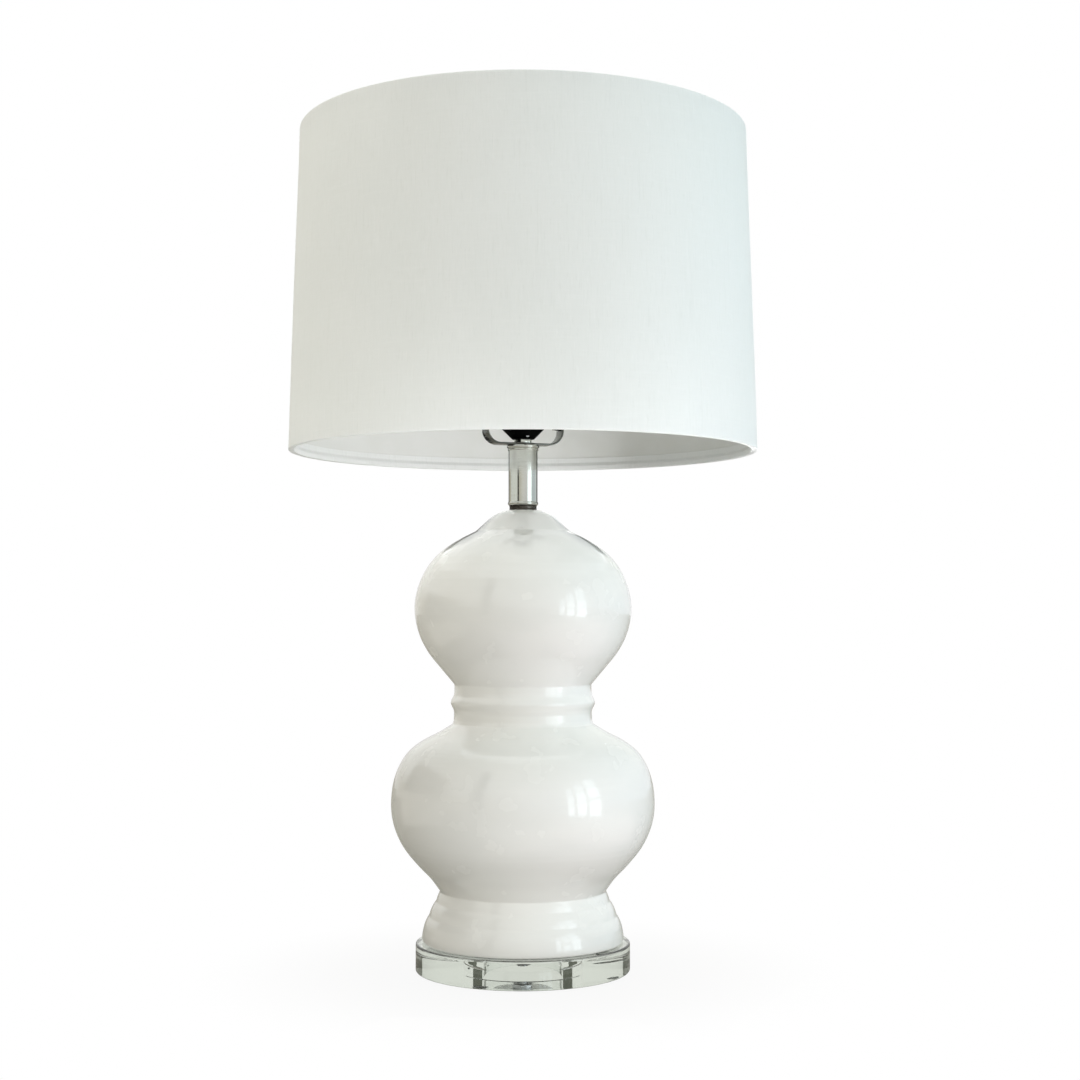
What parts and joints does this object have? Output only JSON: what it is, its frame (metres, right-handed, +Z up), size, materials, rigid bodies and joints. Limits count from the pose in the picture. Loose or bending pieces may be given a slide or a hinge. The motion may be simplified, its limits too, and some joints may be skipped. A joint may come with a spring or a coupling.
{
  "type": "table lamp with shade",
  "caption": "Table lamp with a double-gourd glazed ceramic body on a clear acrylic disc, a metal neck and a tapered linen drum shade on a harp.",
  "frame": {"origin": "centre of the underside of the bumper feet, on the lamp's axis, at table level", "axes": "+Z up the lamp's axis, the harp lies in the XZ plane, and the cord inlet faces +Y"},
  "size_m": [0.4066, 0.4064, 0.7436],
  "materials": {
    "clear_acrylic": "polished, clear with a faint grey-green tint",
    "clear_rubber": "soft translucent bumpers",
    "zinc_steel": "zinc plated",
    "foam_pad": "thin dark foam gasket",
    "white_glaze": "glossy white glaze",
    "brushed_nickel": "satin nickel plate",
    "dark_nickel": "darkened nickel",
    "dull_nickel": "plated strip, duller than the tube",
    "black_phenolic": "moulded, satin black",
    "insulating_card": "fibre insulating sleeve",
    "brass": "plain",
    "nickel_screw": "nickel plated",
    "bulb_plastic": "opal white",
    "led_substrate": "white solder mask",
    "led_phosphor": "yellow phosphor",
    "driver_laminate": "green circuit laminate",
    "shade_linen": "white slubbed linen weave",
    "shade_styrene": "white styrene lining"
  },
  "bodies": {
    "stand": {"base_disc": "clear_acrylic", "base_feet": "clear_rubber", "base_washer": "zinc_steel", "base_lock_washer": "zinc_steel", "base_nut": "zinc_steel", "lamp_pipe": "zinc_steel", "cap_set_screw": "zinc_steel", "harp_stud": "zinc_steel", "foot_gasket": "foam_pad", "ceramic_body": "white_glaze", "neck_lower_bead": "brushed_nickel", "neck_tube": "brushed_nickel", "neck_cap": "brushed_nickel", "saddle_nut": "brushed_nickel", "harp_wire": "brushed_nickel", "harp_boss": "brushed_nickel", "neck_seat_ring": "dark_nickel", "harp_saddle": "dull_nickel", "cord_bushing": "black_phenolic", "socket_cap": "black_phenolic", "socket_shell": "black_phenolic", "socket_core": "black_phenolic", "socket_sleeve": "insulating_card", "socket_screw_shell": "brass", "socket_centre_contact": "brass", "terminal_screw_live": "brass", "terminal_screw_neutral": "nickel_screw"},
    "switch_knob": {"switch_shaft": "brass", "switch_knob": "black_phenolic"},
    "bulb": {"bulb_diffuser": "bulb_plastic", "bulb_housing": "bulb_plastic", "bulb_screw_cap": "nickel_screw", "bulb_insulator": "black_phenolic", "bulb_tip_contact": "nickel_screw", "led_board": "led_substrate", "led_chips": "led_phosphor", "driver_board": "driver_laminate"},
    "shade": {"shade_fabric": "shade_linen", "shade_liner": "shade_styrene", "shade_top_ring": "brushed_nickel", "shade_bottom_ring": "brushed_nickel", "spider_arm_1": "brushed_nickel", "spider_arm_2": "brushed_nickel", "spider_arm_3": "brushed_nickel", "spider_hub": "brushed_nickel"},
    "finial": {"finial_body": "brushed_nickel", "finial_insert": "brass"},
    "ferrule_left": {"harp_ferrule_left": "brushed_nickel"},
    "ferrule_right": {"harp_ferrule_right": "brushed_nickel"}
  },
  "joints": [
    {"name": "switch_turn", "type": "hinge", "parent": "stand", "child": "switch_knob", "pos_m": [0, -0.03, 0.4855], "axis": [0, -1, 0], "continuous": true},
    {"name": "bulb_turn", "type": "hinge", "parent": "stand", "child": "bulb", "pos_m": [0, 0, 0.5], "axis": [0, 0, 1], "continuous": true},
    {"name": "shade_turn", "type": "hinge", "parent": "stand", "child": "shade", "pos_m": [0, 0, 0.711], "axis": [0, 0, 1], "continuous": true},
    {"name": "finial_turn", "type": "hinge", "parent": "stand", "child": "finial", "pos_m": [0, 0, 0.72], "axis": [0, 0, 1], "continuous": true},
    {"name": "ferrule_left_slide", "type": "slide", "parent": "stand", "child": "ferrule_left", "axis": [0, 0, 1], "range_m": [0, 0.016]},
    {"name": "ferrule_right_slide", "type": "slide", "parent": "stand", "child": "ferrule_right", "axis": [0, 0, 1], "range_m": [0, 0.016]}
  ]
}
